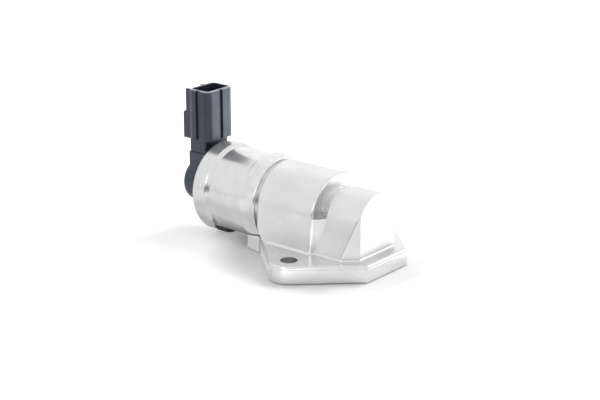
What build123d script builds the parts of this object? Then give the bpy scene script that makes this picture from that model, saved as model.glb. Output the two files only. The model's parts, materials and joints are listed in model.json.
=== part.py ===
from build123d import *
from math import asin, atan2, cos, degrees, radians, sin, sqrt
import os

os.makedirs("parts", exist_ok=True)

# Idle air control valve, millimetres.
# Origin: midway between the two bolt holes, on the mounting face. +Z leaves that face,
# the plunger runs along X, its solenoid end towards -X, and Y crosses the two bolts.

# Mounting flange
bolt_spacing = 53.5
bolt_hole_d = 6.7
flange_t = 7.0
flange_half_length = 27.0
flange_end_half_width = 12.5
ear_r = 8.0
flange_lip = 1.2
flange_lip_inset = 0.35
flange_edge_r = 0.6
flange_step_edge_r = 0.3
flange_base_edge_r = 0.5

# Plunger axis and cast housing
axis_z = 19.0
house_r = 16.6
house_foot_half = 17.2
house_rear_x = -24.8
house_front_x = 2.8
house_corner_r = 1.8
house_rear_edge_r = 0.8
house_foot_rear_x = -19.6
house_foot_reach = 0.85
house_foot_end_inset = 0.9
house_foot_end_bevel = 1.8
house_corner_top_z = 14.0
house_corner_back = 3.2
house_corner_in = 2.8
web_length = 12.0
web_top_z = 21.1
web_inner_half = 12.3
groove_r = 10.8
groove_front_x = 6.6
hood_r = 12.2
hood_foot_inset = 1.2
hood_front_x = 21.9
hood_bevel_angle = 42.0
hood_bevel_half = 10.8
hood_ridge_r = 0.9
foot_fillet = 0.9
cast_edge_r = 0.7
pad_length = 7.3
pad_half_width = 12.0
pad_root_half_width = 13.8
pad_corner_r = 1.2
pad_clearance = 0.3

# Air passages in the casting
chamber_r = 12.0
divider_x = -2.0
seat_pocket_r = 8.0
end_wall = 3.5
rear_port_x = -9.5
rear_port_length = 12.0
rear_port_half_width = 9.0
front_port_x = 11.7
front_port_length = 11.0
front_port_half_width = 8.0
port_corner_r = 4.0
spring_spigot_r = 3.4
spring_spigot_length = 1.6

# Solenoid case
can_r = 17.1
can_wall = 1.2
can_length = 23.8
plate_r = 17.8
plate_rear_x = -33.2
plate_front_x = -25.6
plate_pad_r = 16.0
plate_edge_r = 0.6
plate_inlet_depth = 1.6
spigot_r = 13.0
spigot_length = 5.3
band_r = 18.3
band_reach = 7.4
band_taper = 1.6
band_lip_t = 0.7
band_lip_inner_r = 14.6
band_edge_r = 0.7
notch_rear_inset = 1.4
notch_middle_inset = 5.4
notch_front_inset = 0.2
notch_rear_half = 7.6
notch_middle_half = 11.3
notch_front_half = 15.2
key_half = 6.0
key_front_gap = 0.4
key_proud = 0.4

# Coil, core and sleeve
core_r = 6.0
core_rear_x = -40.0
core_cone_depth = 1.6
core_tip_r = 3.3
core_hole_clearance = 0.3
core_flange_r = 7.4
core_flange_t = 1.4
sleeve_wall = 0.5
sleeve_bore_clearance = 0.1
sleeve_front_x = -36.6
bobbin_wall = 1.2
bobbin_flange_t = 1.2
bobbin_flange_r = 15.5
winding_r = 14.4
winding_gap = 0.1
washer_t = 1.4
washer_window_clearance = 0.4

# Moving plunger
stroke = 3.0
armature_length = 13.2
armature_end_gap = 0.4
armature_edge = 0.3
shaft_r = 1.5
shaft_rear_proud = 0.4
shaft_tail = 1.3
shaft_edge = 0.2
bush_wall = 1.4
bush_length = 5.0
bush_shoulder = 0.6
running_clearance = 0.04
press_clearance = 0.01
slip_clearance = 0.03

# Valve seat and poppet
seat_t = 4.0
seat_front_x = 4.5
orifice_r = 5.0
seat_land_t = 0.5
seat_land_slope = 0.3
seat_mouth_edge = 0.8
closed_gap = 0.1
poppet_r = 6.4
poppet_disc_t = 1.5
poppet_hub_r = 3.0
poppet_hub_length = 2.0
poppet_nose_length = 2.4
seal_t = 0.8
nose_clearance = 0.3
clip_r = 2.8
clip_t = 0.7
clip_groove_depth = 0.4
clip_gap_half = 0.9

# Springs
return_wire_d = 0.9
return_mean_r = 4.6
return_turns = 5.5
bias_wire_d = 0.45
bias_mean_r = 1.6
bias_turns = 4.5
bias_length = 3.6
spring_end_gap = 0.1

# Moulded end cap and connector
cap_step_r = 14.3
cap_step_t = 1.7
cap_rim_t = 2.0
boss_r = 8.8
boss_edge_r = 2.6
boss_bore_r = 4.2
plug_t = 1.2
plug_gap = 0.8
adjuster_length = 3.8
adjuster_hex = 4.0
adjuster_hex_depth = 1.6
riser_half_x = 4.3
riser_half_width = 6.9
riser_edge_r = 0.8
riser_collar = 0.4
riser_collar_top_z = 32.6
riser_web_half = 4.3
riser_web_top_z = 33.4
shroud_floor_z = 38.3
shroud_top_z = 59.0
shroud_offset = 6.5
riser_offset = 1.3
shroud_half_x = 5.7
shroud_half_y = 7.8
shroud_corner_r = 2.8
shroud_wall = 1.2
shroud_cavity_floor_z = 43.5
shroud_lip = 0.55
key_groove_width = 2.2
key_groove_depth = 0.75
rail_y = 4.4
rail_t = 1.3
rail_reach = 3.3
rail_top_inset = 1.0
latch_reach = 4.8
latch_top_z = 48.6
latch_ramp = 0.6
latch_base_drop = 1.0

# Terminals
pin_t = 0.8
pin_width = 2.4
pin_pitch = 5.0
pin_top_z = 52.0
pin_foot_z = 29.4
pin_chamfer = 0.3

# Seals
front_seal_d = 1.7
front_seal_x = -22.0
rear_seal_d = 1.2
seal_groove_side = 0.25

# Places worked out from the sizes above
bolt_y = bolt_spacing / 2
can_bore_r = can_r - can_wall
can_rear_x = plate_rear_x - can_length
band_front_x = can_rear_x + band_reach
house_bore_r = spigot_r + slip_clearance
hood_foot_half = house_foot_half - hood_foot_inset
spigot_front_x = house_rear_x + spigot_length
chamber_end_x = hood_front_x - end_wall
seat_rear_x = seat_front_x - seat_t
poppet_rear_x = seat_front_x + closed_gap
disc_rear_x = poppet_rear_x + seal_t
disc_front_x = disc_rear_x + poppet_disc_t
hub_front_x = disc_front_x + poppet_hub_length
clip_rear_x = hub_front_x + slip_clearance
shaft_front_x = clip_rear_x + clip_t + shaft_tail
armature_front_x = core_rear_x - stroke - armature_end_gap
armature_rear_x = armature_front_x - armature_length
sleeve_bore_r = core_r + sleeve_bore_clearance
sleeve_r = sleeve_bore_r + sleeve_wall
plate_inlet_x = plate_rear_x - plate_inlet_depth
bobbin_front_x = plate_inlet_x - winding_gap
cap_front_x = can_rear_x + cap_rim_t
cap_step_x = can_rear_x - cap_step_t
rear_seal_x = (can_rear_x + cap_front_x) / 2
shroud_x = can_rear_x - shroud_offset
riser_x = shroud_x - riser_offset
riser_rear_x = riser_x - riser_half_x
riser_front_x = riser_x + riser_half_x
washer_front_x = cap_front_x + winding_gap + washer_t
bobbin_rear_x = washer_front_x + winding_gap
bobbin_bore_r = sleeve_r + slip_clearance
bush_r = shaft_r + running_clearance + bush_wall
core_front_x = spigot_front_x - slip_clearance
rear_bush_front_x = can_rear_x - bush_shoulder
shaft_rear_x = rear_bush_front_x - bush_length - shaft_rear_proud
bias_front_x = shaft_rear_x - spring_end_gap
bias_rear_x = bias_front_x - bias_length
adjuster_front_x = bias_rear_x - spring_end_gap
adjuster_rear_x = adjuster_front_x - adjuster_length
boss_rear_x = adjuster_rear_x - plug_gap - plug_t
over = 1.0
big = 200.0


def across(x):
    """Plane at x whose local axes are Y and Z, centred on the plunger axis."""
    return Plane(origin=(x, 0, axis_z), x_dir=(0, 1, 0), z_dir=(1, 0, 0))


def rod(radius, x0, x1, y=0.0, z=axis_z):
    """Cylinder along X from x0 to x1."""
    plane = Plane(origin=(x0, y, z), x_dir=(0, 1, 0), z_dir=(1, 0, 0))
    return extrude(plane * Circle(radius), x1 - x0)


def tube(outer, inner, x0, x1):
    """Ring along X on the plunger axis."""
    return rod(outer, x0, x1) - rod(inner, x0 - over, x1 + over)


def block(x0, x1, y0, y1, z0, z1):
    """Box between two corners."""
    centre = Location(((x0 + x1) / 2, (y0 + y1) / 2, (z0 + z1) / 2))
    return centre * Box(x1 - x0, y1 - y0, z1 - z0)


def turned(points):
    """Solid of revolution about the plunger axis from (x, radius) points."""
    profile = Polyline(*[(x, 0, axis_z + r) for x, r in points], close=True)
    return revolve(make_face(profile), Axis((0, 0, axis_z), (1, 0, 0)), 360)


def torus_seal(radius, section_r, x):
    """O-ring on the plunger axis."""
    ring = Plane(origin=(x, 0, axis_z + radius), x_dir=(1, 0, 0), z_dir=(0, -1, 0)) * Circle(section_r)
    return revolve(ring, Axis((0, 0, axis_z), (1, 0, 0)), 360)


def edges_near(shape, test):
    """Edges of a shape whose middle point passes a test."""
    return [edge for edge in shape.edges() if test(edge @ 0.5)]


def spring(mean_r, wire_r, x0, x1, turns):
    """Round-wire compression spring along X whose wire fills x0 to x1."""
    rise = x1 - x0 - 2 * wire_r
    path = Helix(pitch=rise / turns, height=rise, radius=mean_r)
    start = Plane(origin=path @ 0, z_dir=path % 0)
    coil = sweep(start * Circle(wire_r), path=path, is_frenet=True)
    return Location((x0 + wire_r, 0, axis_z)) * Rotation(0, 90, 0) * coil


# Mounting flange outline: two round ears joined by straight tangents to two narrow ends
def flange_outline(inset=0.0):
    """Closed face on the XY plane, moved inwards by inset."""
    r = ear_r - inset
    end_x = flange_half_length - inset
    reach_y = bolt_y - flange_end_half_width
    span = sqrt(flange_half_length ** 2 + reach_y ** 2)
    turn = atan2(reach_y, flange_half_length) + asin(ear_r / span)
    touch_x = r * sin(turn)
    touch_y = bolt_y + r * cos(turn)
    end_y = touch_y - (end_x - touch_x) * sin(turn) / cos(turn)
    pieces = []
    for side in (1, -1):
        near = (side * touch_x, side * touch_y)
        far = (-side * touch_x, side * touch_y)
        corner = (-side * end_x, side * end_y)
        other = (-side * end_x, -side * end_y)
        pieces.append(ThreePointArc(near, (0, side * (bolt_y + r)), far))
        pieces.append(Line(far, corner))
        pieces.append(Line(corner, other))
        pieces.append(Line(other, (-side * touch_x, -side * touch_y)))
    return make_face(Wire(pieces))


# Arch profile with straight sides that spread towards the flange
def arch_face(x, radius, foot_half, foot_z):
    """Arch on the plane at x: an arc on the plunger axis and two tangent sides to the foot."""
    drop = axis_z - foot_z
    span = sqrt(foot_half ** 2 + drop ** 2)
    swing = asin(radius / span)
    lean = atan2(drop, foot_half) + swing
    side = span * cos(swing)
    touch_y = foot_half - side * cos(lean)
    touch_z = side * sin(lean) - drop
    arc = ThreePointArc((touch_y, touch_z), (0, radius), (-touch_y, touch_z))
    left = Line((-touch_y, touch_z), (-foot_half, -drop))
    floor = Line((-foot_half, -drop), (foot_half, -drop))
    right = Line((foot_half, -drop), (touch_y, touch_z))
    return across(x) * make_face(Wire([arc, left, floor, right]))


def bevel_cutter(x, half, angle):
    """Two prisms outside the upright planes that meet the point (x, +-half) at an angle to X."""
    run = (-cos(radians(angle)), sin(radians(angle)))
    out = (sin(radians(angle)), cos(radians(angle)))
    prisms = []
    for side in (1, -1):
        corners = []
        for along, away in ((-big, 0), (big, 0), (big, big), (-big, big)):
            corner_y = side * (half + along * run[1] + away * out[1])
            corners.append((x + along * run[0] + away * out[0], corner_y))
        prisms.append(extrude(make_face(Polyline(*corners, close=True)), big))
    return prisms[0] + prisms[1]


def port(x, length, half_width):
    """Passage from the mounting face up to the plunger axis."""
    mouth = Pos(x, 0, -over) * RectangleRounded(length, 2 * half_width, port_corner_r)
    return extrude(mouth, axis_z + over)


def rear_corner_cutters():
    """Two half spaces that bevel the housing's lower rear corners down to the flange's outline."""
    cutters = []
    for side in (1, -1):
        top = Vector(house_rear_x, side * house_foot_half, house_corner_top_z)
        back = Vector(house_rear_x + house_corner_back, side * house_foot_half, flange_t)
        inner = Vector(house_rear_x, side * (house_foot_half - house_corner_in), flange_t)
        out = (back - top).cross(inner - top) * side
        cutters.append(extrude(Plane(origin=top, z_dir=out) * Rectangle(big, big), big))
    return cutters


def make_valve_body():
    """The casting: flange, main housing, neck groove, hood and saddle pad, with its passages."""
    flange = extrude(flange_outline(), flange_t - flange_lip)
    base_edges = edges_near(flange, lambda p: p.Z < 0.01)
    flange = fillet(base_edges, flange_base_edge_r)
    step_edges = edges_near(flange, lambda p: p.Z > flange_t - flange_lip - 0.01)
    flange = fillet(step_edges, flange_step_edge_r)
    flange += extrude(flange_outline(flange_lip_inset), flange_t)
    top_edges = edges_near(flange, lambda p: abs(p.Z - flange_t) < 0.01)
    flange = fillet(top_edges, flange_edge_r)

    case = extrude(arch_face(house_rear_x, house_r, house_foot_half, flange_t), house_front_x - house_rear_x)
    rear_rim = edges_near(case, lambda p: abs(p.X - house_rear_x) < 0.01 and p.Z > flange_t + 0.1)
    case = fillet(rear_rim, house_rear_edge_r)
    rim = edges_near(case, lambda p: abs(p.X - house_front_x) < 0.01 and p.Z > flange_t + 0.1)
    case = fillet(rim, cast_edge_r)
    case -= rear_corner_cutters()
    web_front_x = groove_front_x + over
    web_rear_x = web_front_x - web_length
    case -= block(web_rear_x + over, big, -big, big, -big, web_top_z - over / 2)
    web = extrude(arch_face(web_rear_x, house_r, house_foot_half, flange_t), web_length)
    web_slope = (house_r - web_inner_half) / (groove_front_x - house_front_x)
    web -= bevel_cutter(house_front_x, house_r, degrees(atan2(web_slope, 1)))
    corners = edges_near(web, lambda p: abs(house_r - abs(p.Y) - web_slope * (p.X - house_front_x)) < 0.01
                         and abs(p.Y) > house_r - house_corner_r and p.Z > flange_t + 0.1)
    web = fillet(corners, house_corner_r)
    web -= block(-big, big, -big, big, web_top_z, big)
    foot_half = house_foot_half + house_foot_reach
    foot_corner_x = house_front_x - house_foot_end_inset
    foot_end_half = foot_half - house_foot_end_bevel
    foot_x = foot_corner_x + house_foot_end_bevel
    foot = Polyline((house_foot_rear_x, -foot_half), (foot_corner_x, -foot_half),
                    (foot_x, -foot_end_half), (foot_x, foot_end_half),
                    (foot_corner_x, foot_half), (house_foot_rear_x, foot_half), close=True)
    web += Pos(0, 0, flange_t) * extrude(make_face(foot), house_foot_reach, dir=(0, 0, 1), taper=45)

    hood = extrude(arch_face(0, hood_r, hood_foot_half, flange_t), hood_front_x)
    hood -= bevel_cutter(hood_front_x, hood_bevel_half, hood_bevel_angle)
    ridges = edges_near(hood, lambda p: groove_front_x < p.X < hood_front_x - 0.1
                        and abs(p.Y) > hood_bevel_half and p.Z > flange_t + 0.1)
    hood = fillet(ridges, hood_ridge_r)
    hood -= block(-big, groove_front_x, -big, big, web_top_z, big)
    body = case + web + hood + rod(groove_r, house_front_x - over, groove_front_x + over) + flange
    feet = edges_near(body, lambda p: abs(p.Z - flange_t) < 0.01 and abs(p.Y) < hood_foot_half + 0.1
                      and groove_front_x < p.X < hood_front_x + 0.5)
    body = fillet(feet, foot_fillet)

    pad_x = -flange_half_length - pad_length
    pad_root_x = over - flange_half_length
    pad_outline = Polyline((pad_x, pad_half_width), (pad_root_x, pad_root_half_width),
                           (pad_root_x, -pad_root_half_width), (pad_x, -pad_half_width), close=True)
    pad = extrude(make_face(pad_outline), flange_t)
    pad_corners = edges_near(pad, lambda p: abs(p.X - pad_x) < 0.01 and abs(p.Z - flange_t / 2) < 0.01)
    body += fillet(pad_corners, pad_corner_r)
    body -= rod(plate_r + pad_clearance, pad_x - over, plate_front_x + pad_clearance)
    body -= rod(plate_pad_r + pad_clearance, plate_front_x, house_rear_x)

    body -= rod(house_bore_r, house_rear_x - over, spigot_front_x)
    body -= rod(chamber_r, house_rear_x, divider_x)
    body -= rod(seat_pocket_r, divider_x - over, chamber_end_x)
    body += rod(spring_spigot_r, chamber_end_x - spring_spigot_length, chamber_end_x + over)
    body -= port(rear_port_x, rear_port_length, rear_port_half_width)
    body -= port(front_port_x, front_port_length, front_port_half_width)
    for side in (1, -1):
        body -= Pos(0, side * bolt_y, flange_t / 2) * Cylinder(bolt_hole_d / 2, flange_t + 2)
    return body


def band_notch():
    """Upright prism of the notch in the band's lower front, seen from below."""
    rear_x = can_rear_x + notch_rear_inset
    middle_x = can_rear_x + notch_middle_inset
    front_x = band_front_x - notch_front_inset
    halves = [(rear_x, notch_rear_half), (middle_x, notch_middle_half), (front_x, notch_front_half),
              (band_front_x + over, notch_front_half)]
    outline = [(x, half) for x, half in halves] + [(x, -half) for x, half in reversed(halves)]
    return extrude(make_face(Polyline(*outline, close=True)), axis_z, dir=(0, 0, 1))


def key_block(extra=0.0):
    """Room of the cap's key under the plunger axis, grown by extra."""
    half = key_half + extra
    return block(can_rear_x - over, band_front_x - key_front_gap + extra, -half, half, 0, axis_z)


def make_coil_can():
    """Drawn steel tube with the slot for the cap's key."""
    return tube(can_r, can_bore_r, can_rear_x, plate_rear_x - press_clearance) - key_block(slip_clearance)


def make_crimp_band():
    """Steel band pressed over the can's rear end, its lip rolled in over the cap."""
    inner = can_r + press_clearance
    lip_x = can_rear_x - band_lip_t
    crease_x = band_front_x - band_taper
    band = turned([(band_front_x, inner), (crease_x, band_r), (lip_x, band_r), (lip_x, band_lip_inner_r),
                   (can_rear_x - press_clearance, band_lip_inner_r), (can_rear_x - press_clearance, inner)])
    rims = edges_near(band, lambda p: (abs(p.X - crease_x) < 0.01 or p.X < lip_x + 0.01)
                      and abs(sqrt(p.Y ** 2 + (p.Z - axis_z) ** 2) - band_r) < 0.01)
    return fillet(rims, band_edge_r) - band_notch()


def make_front_plate():
    """Turned steel plate: outer ring, pad that meets the casting, and a spigot in its bore."""
    bore = core_r + press_clearance
    flange_bore = core_flange_r + press_clearance
    shoulder_x = core_front_x - core_flange_t
    groove_r_in = spigot_r - front_seal_d
    half = front_seal_d / 2 + seal_groove_side
    plate = turned([
        (plate_inlet_x, bore), (plate_inlet_x, can_bore_r - press_clearance),
        (plate_rear_x, can_bore_r - press_clearance), (plate_rear_x, plate_r),
        (plate_front_x, plate_r), (plate_front_x, plate_pad_r), (house_rear_x, plate_pad_r),
        (house_rear_x, spigot_r), (front_seal_x - half, spigot_r), (front_seal_x - half, groove_r_in),
        (front_seal_x + half, groove_r_in), (front_seal_x + half, spigot_r),
        (spigot_front_x, spigot_r), (spigot_front_x, flange_bore),
        (shoulder_x, flange_bore), (shoulder_x, bore)])
    rims = edges_near(plate, lambda p: abs(sqrt(p.Y ** 2 + (p.Z - axis_z) ** 2) - plate_r) < 0.01)
    return fillet(rims, plate_edge_r)


def make_pole_core():
    """Fixed core with a flange at its front, a conical seat at its rear and the front bush bore."""
    bush_x = core_front_x - bush_length
    hole = shaft_r + core_hole_clearance
    shoulder_x = core_front_x - core_flange_t
    return turned([
        (core_rear_x, core_r), (shoulder_x, core_r), (shoulder_x, core_flange_r),
        (core_front_x, core_flange_r), (core_front_x, bush_r), (bush_x, bush_r), (bush_x, hole),
        (core_rear_x + core_cone_depth, hole), (core_rear_x + core_cone_depth, core_tip_r)])


def make_armature():
    """Moving iron with a nose that matches the core's cone."""
    hole = shaft_r + press_clearance
    nose_x = armature_front_x + core_cone_depth
    return turned([
        (armature_rear_x, hole), (armature_rear_x, core_r - armature_edge),
        (armature_rear_x + armature_edge, core_r), (armature_front_x, core_r),
        (nose_x, core_tip_r), (nose_x, hole)])


def make_bobbin():
    """Spool that carries the winding."""
    barrel_r = bobbin_bore_r + bobbin_wall
    return turned([
        (bobbin_rear_x, bobbin_bore_r), (bobbin_rear_x, bobbin_flange_r),
        (bobbin_rear_x + bobbin_flange_t, bobbin_flange_r), (bobbin_rear_x + bobbin_flange_t, barrel_r),
        (bobbin_front_x - bobbin_flange_t, barrel_r), (bobbin_front_x - bobbin_flange_t, bobbin_flange_r),
        (bobbin_front_x, bobbin_flange_r), (bobbin_front_x, bobbin_bore_r)])


def make_winding():
    """Copper winding between the spool's flanges."""
    inner = bobbin_bore_r + bobbin_wall + press_clearance
    rear = bobbin_rear_x + bobbin_flange_t + winding_gap
    front = bobbin_front_x - bobbin_flange_t - winding_gap
    return tube(winding_r, inner, rear, front)


def pin_shape(y, extra=0.0):
    """One bent terminal, or the room for it when extra is above zero."""
    half = pin_width / 2 + extra
    rear = shroud_x - pin_t / 2 - extra
    blade = block(rear, shroud_x + pin_t / 2 + extra, y - half, y + half, pin_foot_z - extra, pin_top_z)
    leg_front = bobbin_rear_x - press_clearance
    leg = block(rear, leg_front, y - half, y + half, pin_foot_z - extra, pin_foot_z + pin_t + extra)
    return blade + leg


def make_pin(y):
    """Flat terminal with a chamfered tip, bent towards the coil."""
    pin = pin_shape(y)
    tip = edges_near(pin, lambda p: abs(p.Z - pin_top_z) < 0.01)
    return chamfer(tip, pin_chamfer)


def make_washer():
    """Steel washer behind the coil, with a window for the terminals."""
    rear = cap_front_x + winding_gap
    washer = tube(can_bore_r - 2 * slip_clearance, sleeve_r + slip_clearance, rear, washer_front_x)
    half = pin_pitch / 2 + pin_width / 2 + washer_window_clearance
    low = pin_foot_z - washer_window_clearance
    high = pin_foot_z + pin_t + washer_window_clearance
    return washer - block(rear - over, washer_front_x + over, -half, half, low, high)


def make_seat():
    """Seat ring with a raised land round its orifice."""
    outer = seat_pocket_r - press_clearance
    land_x = seat_front_x - seat_land_t
    land_r = (orifice_r + poppet_r) / 2
    return turned([
        (seat_rear_x, orifice_r + seat_mouth_edge), (seat_rear_x, outer), (land_x, outer),
        (land_x, land_r + seat_land_slope), (seat_front_x, land_r), (seat_front_x, orifice_r),
        (seat_rear_x + seat_mouth_edge, orifice_r)])


def make_poppet():
    """Valve plug: nose in the orifice, disc behind the seal, hub on the shaft."""
    hole = shaft_r + press_clearance
    nose_r = orifice_r - nose_clearance
    tip_x = poppet_rear_x - poppet_nose_length
    return turned([
        (tip_x, hole), (tip_x, poppet_hub_r), (poppet_rear_x, nose_r), (disc_rear_x, nose_r),
        (disc_rear_x, poppet_r), (disc_front_x, poppet_r), (disc_front_x, poppet_hub_r),
        (hub_front_x, poppet_hub_r), (hub_front_x, hole)])


def make_shaft():
    """Plunger shaft with the groove for its clip."""
    neck = shaft_r - clip_groove_depth
    return turned([
        (shaft_rear_x, 0), (shaft_rear_x, shaft_r - shaft_edge), (shaft_rear_x + shaft_edge, shaft_r),
        (clip_rear_x - press_clearance, shaft_r), (clip_rear_x - press_clearance, neck),
        (clip_rear_x + clip_t + press_clearance, neck), (clip_rear_x + clip_t + press_clearance, shaft_r),
        (shaft_front_x - shaft_edge, shaft_r), (shaft_front_x, shaft_r - shaft_edge), (shaft_front_x, 0)])


def make_clip():
    """Open snap ring in the shaft's groove."""
    ring = tube(clip_r, shaft_r - clip_groove_depth + press_clearance, clip_rear_x, clip_rear_x + clip_t)
    front_x = clip_rear_x + clip_t
    return ring - block(clip_rear_x - over, front_x + over, -clip_gap_half, clip_gap_half, 0, axis_z)


def make_bush(x0):
    """Plain bearing of the shaft."""
    return tube(bush_r - press_clearance, shaft_r + running_clearance, x0, x0 + bush_length)


def make_adjuster():
    """Set screw behind the bias spring, with a hexagon socket."""
    screw = rod(boss_bore_r - press_clearance, adjuster_rear_x, adjuster_front_x)
    socket = across(adjuster_rear_x) * RegularPolygon(adjuster_hex / 2, 6, major_radius=False)
    return screw - extrude(socket, adjuster_hex_depth)


def shroud_outline(inset=0.0):
    """Rounded outline of the connector, moved inwards by inset."""
    return RectangleRounded(2 * (shroud_half_x - inset), 2 * (shroud_half_y - inset), shroud_corner_r - inset)


def make_shroud():
    """Connector shroud: outer wall with key grooves, rails and the latch block, before its cavity."""
    shroud = Pos(shroud_x, 0, shroud_floor_z) * extrude(shroud_outline(), shroud_top_z - shroud_floor_z)
    lip = edges_near(shroud, lambda p: abs(p.Z - shroud_top_z) < 0.01)
    shroud = chamfer(lip, shroud_lip)
    half = key_groove_width / 2
    low = shroud_floor_z - over
    high = shroud_top_z + over
    for side in (1, -1):
        face_y = side * (shroud_half_y - key_groove_depth)
        y0, y1 = sorted((face_y, side * (shroud_half_y + over)))
        shroud -= block(shroud_x - half, shroud_x + half, y0, y1, low, high)
    face_x = shroud_x + shroud_half_x
    shroud -= block(face_x - key_groove_depth, face_x + over, -half, half, low, high)
    rear_x = shroud_x - shroud_half_x
    for side in (1, -1):
        y = side * rail_y
        shroud += block(rear_x - rail_reach, rear_x + over, y - rail_t / 2, y + rail_t / 2,
                        shroud_floor_z, shroud_top_z - rail_top_inset)
    half = rail_y + rail_t / 2
    latch_x = rear_x - latch_reach
    latch = block(latch_x, rear_x + over, -half, half, shroud_floor_z - latch_base_drop, latch_top_z)
    ramp = edges_near(latch, lambda p: abs(p.X - latch_x) < 0.01 and abs(p.Z - latch_top_z) < 0.01)
    return shroud + chamfer(ramp, latch_ramp)


def make_end_cap():
    """Moulded cap: rim and step in the can, boss, riser, connector shroud and the can key."""
    rim_r = can_bore_r - slip_clearance
    cap = rod(rim_r, can_rear_x, cap_front_x) + rod(cap_step_r, cap_step_x, can_rear_x)
    boss = rod(boss_r, boss_rear_x, cap_step_x)
    boss = fillet(edges_near(boss, lambda p: p.X < boss_rear_x + 0.01), boss_edge_r)
    riser = block(riser_rear_x, riser_front_x, -riser_half_width, riser_half_width, axis_z, shroud_floor_z)
    uprights = edges_near(riser, lambda p: abs(p.Z - (axis_z + shroud_floor_z) / 2) < 0.01)
    riser = fillet(uprights, riser_edge_r)
    half = riser_half_width + riser_collar
    collar = block(riser_rear_x - riser_collar, riser_front_x, -half, half, axis_z, riser_collar_top_z)
    uprights = edges_near(collar, lambda p: abs(p.Z - (axis_z + riser_collar_top_z) / 2) < 0.01)
    riser += fillet(uprights, riser_edge_r)
    web_rear_x = riser_front_x - over
    web = block(web_rear_x, cap_step_x + over, -riser_web_half, riser_web_half, axis_z, riser_web_top_z)
    cap += boss + riser + web + make_shroud()

    key_r = band_r + key_proud
    key_rear_x = can_rear_x + notch_rear_inset + slip_clearance
    cap += tube(key_r, can_bore_r, key_rear_x, band_front_x) & key_block()
    cap += tube(can_r - slip_clearance, rim_r - over, can_rear_x, cap_front_x) & key_block()
    groove_half = rear_seal_d / 2 + seal_groove_side / 2
    cap -= tube(can_bore_r, rim_r - rear_seal_d, rear_seal_x - groove_half, rear_seal_x + groove_half)
    cap -= rod(boss_bore_r, boss_rear_x - over, rear_bush_front_x)
    cap -= rod(sleeve_r + slip_clearance, rear_bush_front_x, cap_front_x + over)
    cap -= rod(bush_r, rear_bush_front_x - bush_length, rear_bush_front_x)
    cavity = Pos(shroud_x, 0, shroud_cavity_floor_z) * extrude(shroud_outline(shroud_wall), big)
    cap -= cavity
    for side in (1, -1):
        cap -= pin_shape(side * pin_pitch / 2, press_clearance)
    return cap


def make_sleeve():
    """Thin non-magnetic tube that the armature slides in."""
    return tube(sleeve_r, sleeve_bore_r, rear_bush_front_x + press_clearance, sleeve_front_x)


parts = {
    "valve_body": make_valve_body(),
    "valve_seat": make_seat(),
    "coil_can": make_coil_can(),
    "crimp_band": make_crimp_band(),
    "front_plate": make_front_plate(),
    "front_seal": torus_seal(spigot_r - front_seal_d / 2, front_seal_d / 2 - slip_clearance, front_seal_x),
    "end_cap": make_end_cap(),
    "rear_seal": torus_seal(can_bore_r - slip_clearance - rear_seal_d / 2, rear_seal_d / 2 - slip_clearance,
                            rear_seal_x),
    "terminal_pin_a": make_pin(pin_pitch / 2),
    "terminal_pin_b": make_pin(-pin_pitch / 2),
    "bobbin": make_bobbin(),
    "coil_winding": make_winding(),
    "pole_core": make_pole_core(),
    "rear_flux_washer": make_washer(),
    "armature_sleeve": make_sleeve(),
    "front_bush": make_bush(core_front_x - bush_length),
    "rear_bush": make_bush(rear_bush_front_x - bush_length),
    "bias_spring": spring(bias_mean_r, bias_wire_d / 2, bias_rear_x, bias_front_x, bias_turns),
    "adjuster_screw": make_adjuster(),
    "boss_plug": rod(boss_bore_r - press_clearance, boss_rear_x, boss_rear_x + plug_t),
    "return_spring": spring(return_mean_r, return_wire_d / 2, disc_front_x + spring_end_gap,
                            chamber_end_x - spring_end_gap, return_turns),
    "armature": make_armature(),
    "plunger_shaft": make_shaft(),
    "valve_poppet": make_poppet(),
    "poppet_seal": tube(poppet_r, orifice_r - nose_clearance + press_clearance, poppet_rear_x,
                        disc_rear_x - press_clearance),
    "shaft_clip": make_clip(),
}

for node, shape in parts.items():
    export_step(shape, f"parts/{node}.step")
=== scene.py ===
import json
from math import cos, radians, sin

import bpy
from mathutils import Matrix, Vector


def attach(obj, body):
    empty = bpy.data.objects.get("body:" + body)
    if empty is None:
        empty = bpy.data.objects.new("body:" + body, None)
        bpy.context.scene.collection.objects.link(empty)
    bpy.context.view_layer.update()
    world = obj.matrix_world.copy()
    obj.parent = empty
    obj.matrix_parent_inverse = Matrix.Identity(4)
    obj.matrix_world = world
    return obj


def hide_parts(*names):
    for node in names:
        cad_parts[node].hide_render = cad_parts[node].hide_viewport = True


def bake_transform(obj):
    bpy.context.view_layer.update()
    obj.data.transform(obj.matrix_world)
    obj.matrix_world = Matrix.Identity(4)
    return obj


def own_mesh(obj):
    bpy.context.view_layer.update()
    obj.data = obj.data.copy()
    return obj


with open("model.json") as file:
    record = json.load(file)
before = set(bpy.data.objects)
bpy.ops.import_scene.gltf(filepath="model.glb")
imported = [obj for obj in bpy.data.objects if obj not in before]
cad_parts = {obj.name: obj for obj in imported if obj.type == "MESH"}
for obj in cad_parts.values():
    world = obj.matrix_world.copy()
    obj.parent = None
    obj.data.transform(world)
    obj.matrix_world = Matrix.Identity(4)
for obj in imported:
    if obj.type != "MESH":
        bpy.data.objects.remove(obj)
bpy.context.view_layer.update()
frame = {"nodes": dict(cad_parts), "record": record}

# Sizes of the object in metres, in the frame of the solids
AXIS_Z = 0.019  # height of the plunger's axis
NECK_X = 0.0047  # middle of the neck groove
NECK_HALF = 0.00188  # half the groove's width
NECK_R = 0.0158  # radius that only the groove's bottom lies within
NECK_FLOOR_Z = 0.0212  # the painted shade and rough skin are strongest here
NECK_HIGHLIGHT_Z = 0.0250  # the painted highlight begins here
NECK_SHADE_END_Z = 0.0295  # the painted shade and rough skin end here, and the painted highlight is full
RIM_Z = 0.0585  # the painted highlight on the connector's rim begins here
RIM_FADE = 0.0003  # height over which the painted rim highlight fades in
WORN_REACH = 0.0008  # width of the shiny worn edges on the casting

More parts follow.
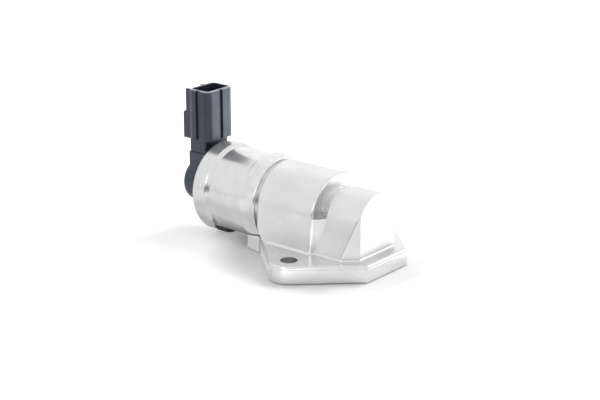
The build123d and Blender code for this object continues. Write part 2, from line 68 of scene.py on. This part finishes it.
# The floor's light, with distances in metres from the origin
FLOOR_SIZE = 6
FLOOR_Z = -0.0001  # just below the mounting face
FLOOR_GREY = 0.82
FLOOR_DARK_TO = 0.036  # no light of its own up to here, a painted shadow round the object
FLOOR_CONTACT_TO = 0.052  # the painted shadow round the object ends here
FLOOR_NEAR = 0.08  # the near light holds up to here
FLOOR_FAR = 0.50  # full light from here on
FLOOR_NEAR_LIGHT = 0.34  # strength of the near light, where full light is 1
FLOOR_GLOSS_SHARE = 0.2  # share of the floor's light that gloss mirrors

# Studio and camera, in metres and degrees
WORLD_LIGHT = 0.42  # strength of the world on diffuse surfaces
CARD_Z = 0.0005  # height of the cards that lie on the floor
MIDDLE = (0, 0, 0.02)  # the lamps point here
VIEW_AZIMUTH = 39.34
VIEW_ELEVATION = 18.47
VIEW_DISTANCE = 0.62646
VIEW_CENTRE = Vector((0.00458, 0, 0))  # the camera's aim before its two shifts
VIEW_SHIFT_RIGHT = -0.01628
VIEW_SHIFT_UP = 0.02387

WHITE = (1, 1, 1, 1)


# Node helpers
class Nodes:
    """Builds one node tree step by step."""

    def __init__(self, tree):
        self.tree = tree
        self.tree.nodes.clear()

    def add(self, kind, **settings):
        """New node of a kind, with its settings."""
        node = self.tree.nodes.new(kind)
        for key, value in settings.items():
            setattr(node, key, value)
        return node

    def link(self, source, target):
        """Joins an output to an input."""
        self.tree.links.new(source, target)

    def place(self, scale=(1, 1, 1)):
        """Object coordinates in metres, stretched by scale."""
        source = self.add("ShaderNodeTexCoord")
        mapping = self.add("ShaderNodeMapping")
        mapping.inputs["Scale"].default_value = scale
        self.link(source.outputs["Object"], mapping.inputs["Vector"])
        return mapping.outputs[0]

    def axes(self, place):
        """X, Y and Z of a place."""
        split = self.add("ShaderNodeSeparateXYZ")
        self.link(place, split.inputs[0])
        return split.outputs

    def noise(self, place, scale, detail, rough=0.55):
        """Noise of a scale per metre."""
        node = self.add("ShaderNodeTexNoise")
        node.inputs["Scale"].default_value = scale
        node.inputs["Detail"].default_value = detail
        node.inputs["Roughness"].default_value = rough
        self.link(place, node.inputs["Vector"])
        return node.outputs["Fac"]

    def ramp(self, source, low, high, colors):
        """Blends two colours as a value goes from low to high."""
        node = self.add("ShaderNodeValToRGB")
        for element, position, color in zip(node.color_ramp.elements, (low, high), colors):
            element.position = position
            element.color = (*color, 1)
        self.link(source, node.inputs["Fac"])
        return node.outputs["Color"]

    def spread(self, source, low, high, start=0.3, end=0.7):
        """Maps start..end of a value to low..high."""
        node = self.add("ShaderNodeMapRange")
        node.inputs["From Min"].default_value = start
        node.inputs["From Max"].default_value = end
        node.inputs["To Min"].default_value = low
        node.inputs["To Max"].default_value = high
        self.link(source, node.inputs["Value"])
        return node.outputs[0]

    def math(self, operation, first, second=None, third=None):
        """One math node; each operand is a socket or a number."""
        node = self.add("ShaderNodeMath", operation=operation)
        for slot, value in zip(node.inputs, (first, second, third)):
            if isinstance(value, (int, float)):
                slot.default_value = value
            elif value is not None:
                self.link(value, slot)
        return node.outputs[0]

    def mix(self, share, first, second):
        """Colour mix of two colour sockets by share."""
        node = self.add("ShaderNodeMix", data_type="RGBA")
        self.link(share, node.inputs["Factor"])
        self.link(first, node.inputs["A"])
        self.link(second, node.inputs["B"])
        return node.outputs["Result"]

    def seen(self, gloss_share):
        """1 for what the camera or glass sees, gloss_share for what gloss mirrors, 0 for the rest."""
        path = self.add("ShaderNodeLightPath")
        direct = self.math("MAXIMUM", path.outputs["Is Camera Ray"], path.outputs["Is Transmission Ray"])
        mirrored = self.math("MULTIPLY", path.outputs["Is Glossy Ray"], gloss_share)
        return self.math("MAXIMUM", direct, mirrored)


class Shader(Nodes):
    """Builds one material step by step."""

    def __init__(self, name):
        self.material = bpy.data.materials.new(name)
        self.material.use_nodes = True
        super().__init__(self.material.node_tree)
        self.output = self.add("ShaderNodeOutputMaterial")

    def principled(self, color, metallic, roughness, **sockets):
        """The material's surface, with further sockets by name."""
        node = self.add("ShaderNodeBsdfPrincipled")
        node.inputs["Base Color"].default_value = (*color, 1)
        node.inputs["Metallic"].default_value = metallic
        node.inputs["Roughness"].default_value = roughness
        for key, value in sockets.items():
            node.inputs[key.replace("_", " ")].default_value = value
        self.link(node.outputs[0], self.output.inputs["Surface"])
        self.surface = node

    def dress(self, color, roughness=None):
        """Lets sockets drive the surface's colour and roughness."""
        self.link(color, self.surface.inputs["Base Color"])
        if roughness is not None:
            self.link(roughness, self.surface.inputs["Roughness"])

    def bumps(self, *layers):
        """Chains bump nodes from (height, strength, depth in metres)."""
        normal = None
        for height, strength, depth in layers:
            node = self.add("ShaderNodeBump")
            node.inputs["Strength"].default_value = strength
            node.inputs["Distance"].default_value = depth
            self.link(height, node.inputs["Height"])
            if normal is not None:
                self.link(normal, node.inputs["Normal"])
            normal = node.outputs[0]
        self.link(normal, self.surface.inputs["Normal"])

    def edges(self, reach, on_edge=0.93, on_face=0.998):
        """1 on edges and 0 on faces, from how alike the normal and its mean within reach are."""
        mean = self.add("ShaderNodeBevel", samples=6)
        mean.inputs["Radius"].default_value = reach
        plain = self.add("ShaderNodeNewGeometry")
        match = self.add("ShaderNodeVectorMath", operation="DOT_PRODUCT")
        self.link(mean.outputs[0], match.inputs[0])
        self.link(plain.outputs["Normal"], match.inputs[1])
        return self.spread(match.outputs["Value"], 1.0, 0.0, on_edge, on_face)


def new_object(name, data):
    """Object with this data, placed in the scene."""
    shape = bpy.data.objects.new(name, data)
    bpy.context.collection.objects.link(shape)
    return shape


def toward(azimuth, elevation=0):
    """Unit vector to an azimuth, counted from the front, and an elevation in degrees."""
    turn = radians(azimuth)
    rise = radians(elevation)
    return Vector((sin(turn) * cos(rise), -cos(turn) * cos(rise), sin(rise)))


# Materials
def neck_painted_light_shares(look, place):
    """Shares of painted shade with rough skin, and of painted highlight, in the upper half of the neck
    groove.
    """
    axes = look.axes(place)
    along = look.math("COMPARE", axes["X"], NECK_X, NECK_HALF)
    lift = look.math("SUBTRACT", axes["Z"], AXIS_Z)
    squares = look.math("ADD", look.math("POWER", lift, 2.0), look.math("POWER", axes["Y"], 2.0))
    within = look.math("LESS_THAN", look.math("SQRT", squares), NECK_R)
    groove = look.math("MULTIPLY", along, within)
    upper = look.math("MULTIPLY", groove, look.math("GREATER_THAN", axes["Z"], NECK_FLOOR_Z))
    # painted shade with rough skin, strongest low in the groove and fading upwards
    rough = look.spread(axes["Z"], 1.0, 0.0, NECK_FLOOR_Z, NECK_SHADE_END_Z)
    # painted highlight, growing towards the top of the groove
    turned = look.spread(axes["Z"], 0.0, 1.0, NECK_HIGHLIGHT_Z, NECK_SHADE_END_Z)
    return look.math("MULTIPLY", upper, rough), look.math("MULTIPLY", upper, turned)


def cast_aluminium():
    """Bright die-cast metal with soft flow marks, fine grain and shiny worn edges.

    In the neck groove it has a rough skin, darkened with painted shade, and a painted highlight above.
    """
    look = Shader("cast_aluminium")
    look.principled((0.74, 0.74, 0.74), 1.0, 0.34)
    place = look.place()
    rough, turned = neck_painted_light_shares(look, place)
    flow = look.noise(look.place((0.5, 1, 1)), 95, 1)
    pits = look.noise(place, 1300, 4, 0.7)
    grain = look.noise(place, 5200, 2)

    plain_tone = look.ramp(flow, 0.3, 0.72, [(0.69, 0.69, 0.69), (0.79, 0.79, 0.785)])
    # near-white tone of the painted highlight at the top of the neck groove
    bright = look.ramp(flow, 0.3, 0.72, [(0.93, 0.93, 0.93), (0.98, 0.98, 0.98)])
    # darker pitted tone: painted shade in the neck groove, mottled by the pits
    dull = look.ramp(pits, 0.35, 0.62, [(0.34, 0.34, 0.345), (0.74, 0.74, 0.74)])
    tone = look.mix(rough, look.mix(turned, plain_tone, bright), dull)

    satin = look.spread(look.noise(place, 150, 1), 0.26, 0.34)
    matt = look.math("MULTIPLY_ADD", rough, 0.2, satin)
    worn = look.math("MULTIPLY_ADD", look.edges(WORN_REACH), -0.16, matt)
    look.dress(tone, worn)
    skin = look.math("MULTIPLY", pits, rough)
    look.bumps((flow, 0.15, 0.0004), (skin, 0.4, 0.00008), (grain, 0.05, 0.00002))
    return look.material


def plated_steel():
    """Bright plated steel with faint rolling lines round the can."""
    look = Shader("plated_steel")
    look.principled((0.75, 0.75, 0.755), 0.8, 0.22)
    rings = look.noise(look.place((9000, 35, 35)), 1, 2)
    waves = look.noise(look.place((0.6, 1, 1)), 130, 2)
    clouds = look.noise(look.place(), 160, 3)
    tone = look.ramp(clouds, 0.3, 0.7, [(0.71, 0.71, 0.715), (0.79, 0.79, 0.795)])
    look.dress(tone, look.spread(rings, 0.17, 0.28))
    look.bumps((waves, 0.18, 0.0004), (rings, 0.10, 0.00002))
    return look.material


def turned_metal(name, color, roughness):
    """Lathe-turned metal with fine rings about the plunger axis."""
    look = Shader(name)
    look.principled(color, 1.0, roughness)
    rings = look.noise(look.place((6500, 30, 30)), 1, 2)
    clouds = look.noise(look.place(), 210, 3)
    low = [value * 0.88 for value in color]
    high = [min(value * 1.08, 1) for value in color]
    tone = look.ramp(clouds, 0.3, 0.7, [low, high])
    look.dress(tone, look.spread(rings, roughness - 0.05, roughness + 0.08))
    look.bumps((rings, 0.16, 0.00003))
    return look.material


def painted_rim_highlight(look, place, tone, grain):
    """The tone, with a painted highlight on the connector's rim."""
    rim_highlight_share = look.spread(look.axes(place)["Z"], 0.0, 1.0, RIM_Z, RIM_Z + RIM_FADE)
    # lighter tone of the painted rim highlight
    pale = look.ramp(grain, 0.3, 0.7, [(0.26, 0.27, 0.31), (0.38, 0.39, 0.43)])
    return look.mix(rim_highlight_share, tone, pale)


def moulded_plastic(name, color, roughness, gloss=0.5, tint=WHITE, rim=False):
    """Moulded plastic with a fine satin texture, slightly paler places and, if asked, a painted
    highlight on its rim.
    """
    look = Shader(name)
    look.principled(color, 0.0, roughness, IOR=1.5, Specular_IOR_Level=gloss, Specular_Tint=tint)
    place = look.place()
    grain = look.noise(place, 3600, 3)
    wide = look.noise(place, 120, 3)
    low = [value * 0.82 for value in color]
    high = [min(value * 1.35, 1) for value in color]
    tone = look.ramp(wide, 0.3, 0.75, [low, high])
    if rim:
        tone = painted_rim_highlight(look, place, tone, grain)
    satin = look.spread(look.noise(place, 420, 4), roughness - 0.06, roughness + 0.1)
    look.dress(tone, satin)
    look.bumps((wide, 0.08, 0.0003), (grain, 0.30, 0.00004))
    return look.material


def black_plastic():
    """The end cap's glossy bluish black, with a painted highlight on its rim."""
    return moulded_plastic(
        "black_plastic", (0.022, 0.027, 0.042), 0.34, gloss=0.8, tint=(0.84, 0.89, 1, 1), rim=True
    )


def wound_copper():
    """Enamelled copper wire, lying in turns round the spool."""
    look = Shader("copper_winding")
    look.principled((0.55, 0.22, 0.09), 1.0, 0.3, Coat_Weight=0.5)
    wave = look.add("ShaderNodeTexWave", wave_type="BANDS", bands_direction="X")
    wave.inputs["Scale"].default_value = 420
    wave.inputs["Distortion"].default_value = 0.4
    look.link(look.place(), wave.inputs["Vector"])
    turns = wave.outputs["Fac"]
    look.dress(look.ramp(turns, 0.1, 0.9, [(0.26, 0.09, 0.035), (0.66, 0.28, 0.12)]))
    look.bumps((turns, 0.7, 0.00015))
    return look.material


def rubber():
    """Smooth seal rubber with a dull bloom."""
    look = Shader("seal_rubber")
    look.principled((0.022, 0.022, 0.023), 0.0, 0.55)
    place = look.place()
    bloom = look.noise(place, 500, 4)
    tone = look.ramp(bloom, 0.35, 0.75, [(0.014, 0.014, 0.015), (0.04, 0.04, 0.042)])
    look.dress(tone, look.spread(bloom, 0.45, 0.68))
    look.bumps((look.noise(place, 2600, 3), 0.2, 0.00003))
    return look.material


finishes = {
    "cast_aluminium": cast_aluminium(),
    "plated_steel": plated_steel(),
    "machined_aluminium": turned_metal("machined_aluminium", (0.75, 0.75, 0.755), 0.24),
    "black_plastic": black_plastic(),
    "tinned_terminal": turned_metal("tinned_terminal", (0.72, 0.60, 0.34), 0.24),
    "bobbin_plastic": moulded_plastic("bobbin_plastic", (0.30, 0.26, 0.19), 0.45),
    "copper_winding": wound_copper(),
    "soft_iron": turned_metal("soft_iron", (0.48, 0.48, 0.49), 0.33),
    "stainless": turned_metal("stainless", (0.66, 0.66, 0.67), 0.18),
    "bush_bronze": turned_metal("bush_bronze", (0.55, 0.38, 0.19), 0.38),
    "seal_rubber": rubber(),
    "spring_steel": turned_metal("spring_steel", (0.44, 0.44, 0.46), 0.28),
    "seat_brass": turned_metal("seat_brass", (0.72, 0.56, 0.28), 0.26),
}
for entry in frame["record"]["subparts"]:
    node = frame["nodes"][entry["node"]]
    node.data.materials.clear()
    node.data.materials.append(finishes[entry["material_slot"]])


# Springs change length as the plunger slides
def live_spring(node, name):
    """Copy of a spring's node whose mesh may change from pose to pose."""
    coil = new_object(name, frame["nodes"][node].data.copy())
    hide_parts(node)
    return coil


return_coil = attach(live_spring("return_spring", "return_spring_coil"), "housing")
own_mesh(return_coil)
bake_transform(live_spring("bias_spring", "bias_spring_coil"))


# Studio: pale floor, white surroundings for the camera and for reflections
def studio_floor():
    """Diffuse floor that turns plain white for the camera, gloss and glass away from the object, with a
    painted shadow close round it where it gives no light of its own.
    """
    look = Shader("floor_white")
    diffuse = look.add("ShaderNodeBsdfDiffuse")
    diffuse.inputs["Color"].default_value = (FLOOR_GREY, FLOOR_GREY, FLOOR_GREY, 1)
    distance = look.add("ShaderNodeVectorMath", operation="LENGTH")
    look.link(look.place(), distance.inputs[0])
    reach = distance.outputs["Value"]
    # painted shadow: the floor's own light is held off close round the object
    glow_past_painted_shadow = look.spread(reach, 0.0, 1.0, FLOOR_DARK_TO, FLOOR_CONTACT_TO)
    rise = look.spread(reach, FLOOR_NEAR_LIGHT, 1.0, FLOOR_NEAR, FLOOR_FAR)
    glow = look.math("MULTIPLY", glow_past_painted_shadow, rise)
    light = look.add("ShaderNodeEmission")
    look.link(look.math("MULTIPLY", glow, look.seen(FLOOR_GLOSS_SHARE)), light.inputs["Strength"])
    both = look.add("ShaderNodeAddShader")
    look.link(diffuse.outputs[0], both.inputs[0])
    look.link(light.outputs[0], both.inputs[1])
    look.link(both.outputs[0], look.output.inputs["Surface"])
    return look.material


def studio_world():
    """World that the camera, gloss and glass see in full white and that lights the rest less."""
    world = bpy.data.worlds.new("studio")
    world.use_nodes = True
    sky = Nodes(world.node_tree)
    background = sky.add("ShaderNodeBackground")
    background.inputs["Color"].default_value = WHITE
    strength = sky.spread(sky.seen(1.0), WORLD_LIGHT, 1.0, 0.0, 1.0)
    sky.link(strength, background.inputs["Strength"])
    output = sky.add("ShaderNodeOutputWorld")
    sky.link(background.outputs[0], output.inputs["Surface"])
    return world


bpy.ops.mesh.primitive_plane_add(size=FLOOR_SIZE, location=(0, 0, FLOOR_Z))
floor = bpy.context.object
floor.name = "floor"
floor.data.materials.append(studio_floor())
bpy.context.scene.world = studio_world()


def softbox(name, place, target, size, power, mirrored=False):
    """Area lamp that points at target and reaches diffuse surfaces or, if mirrored, reflections."""
    data = bpy.data.lights.new(name, "AREA")
    data.shape = "RECTANGLE"
    data.size, data.size_y = size
    data.energy = power
    lamp = new_object(name, data)
    lamp.location = place
    lamp.visible_camera = False
    lamp.visible_diffuse = not mirrored
    lamp.visible_glossy = mirrored
    lamp.rotation_euler = (Vector(target) - Vector(place)).to_track_quat("-Z", "Y").to_euler()


# Lamps by name, place, target, width and height in metres, and power in watts
softbox("key_right", (0.22, 0.50, 0.58), MIDDLE, (0.50, 0.50), 2.8)
softbox("back", (0.05, 0.58, 0.62), MIDDLE, (0.30, 0.25), 2.4)
softbox("top", (-0.30, -0.05, 0.60), MIDDLE, (0.80, 0.80), 2.1)
softbox("low_right", (0.62, 0.52, 0.06), (0, 0, 0.03), (0.40, 0.11), 0.55, mirrored=True)
softbox("front", (0.12, -0.72, 0.33), MIDDLE, (0.24, 0.20), 0.8, mirrored=True)
softbox("back_left", (-0.50, 0.52, 0.42), MIDDLE, (0.90, 0.70), 0.30, mirrored=True)


def card(name, corners, grey):
    """Flat card beside the object that only reflections see."""
    mesh = bpy.data.meshes.new(name)
    mesh.from_pydata(corners, [], [(0, 1, 2, 3)])
    shape = new_object(name, mesh)
    look = Shader(name)
    light = look.add("ShaderNodeEmission")
    light.inputs["Color"].default_value = (grey, grey, grey, 1)
    look.link(light.outputs[0], look.output.inputs["Surface"])
    mesh.materials.append(look.material)
    shape.visible_camera = False
    shape.visible_diffuse = False
    shape.visible_shadow = False


def lying(start, end, near, far):
    """Corners of a card on the floor between two azimuths and two distances."""
    spots = [(start, near), (start, far), (end, far), (end, near)]
    return [toward(azimuth) * reach + Vector((0, 0, CARD_Z)) for azimuth, reach in spots]


def upright(azimuth, width, height, distance):
    """Corners of a card that stands on the floor and faces the object."""
    middle = toward(azimuth) * distance
    side = toward(azimuth + 90) * width / 2
    lift = Vector((0, 0, height))
    return [middle - side, middle + side, middle + side + lift, middle - side + lift]


card("dark_front", upright(24, width=0.66, height=0.065, distance=0.25), 0.02)
card("bounce_right", lying(80, 150, near=0.045, far=0.145), 1.5)
card("bounce_far", lying(152, 180, near=0.075, far=0.30), 4.0)
card("bounce_left", lying(-72, -18, near=0.02, far=0.08), 0.76)
card("bounce_front", lying(2, 40, near=0.045, far=0.16), 1.55)

# Camera at the photograph's angle
back = toward(VIEW_AZIMUTH, VIEW_ELEVATION)
right = toward(VIEW_AZIMUTH + 90)
up = back.cross(right)
camera_data = bpy.data.cameras.new("camera")
camera_data.lens = 96
camera_data.sensor_width = 36
camera_data.clip_start = 0.01
camera = new_object("camera", camera_data)
camera.location = VIEW_CENTRE + VIEW_SHIFT_RIGHT * right + VIEW_SHIFT_UP * up + VIEW_DISTANCE * back
camera.rotation_euler = back.to_track_quat("Z", "Y").to_euler()
bpy.context.scene.camera = camera

view_settings = bpy.context.scene.view_settings
view_settings.view_transform = "Standard"
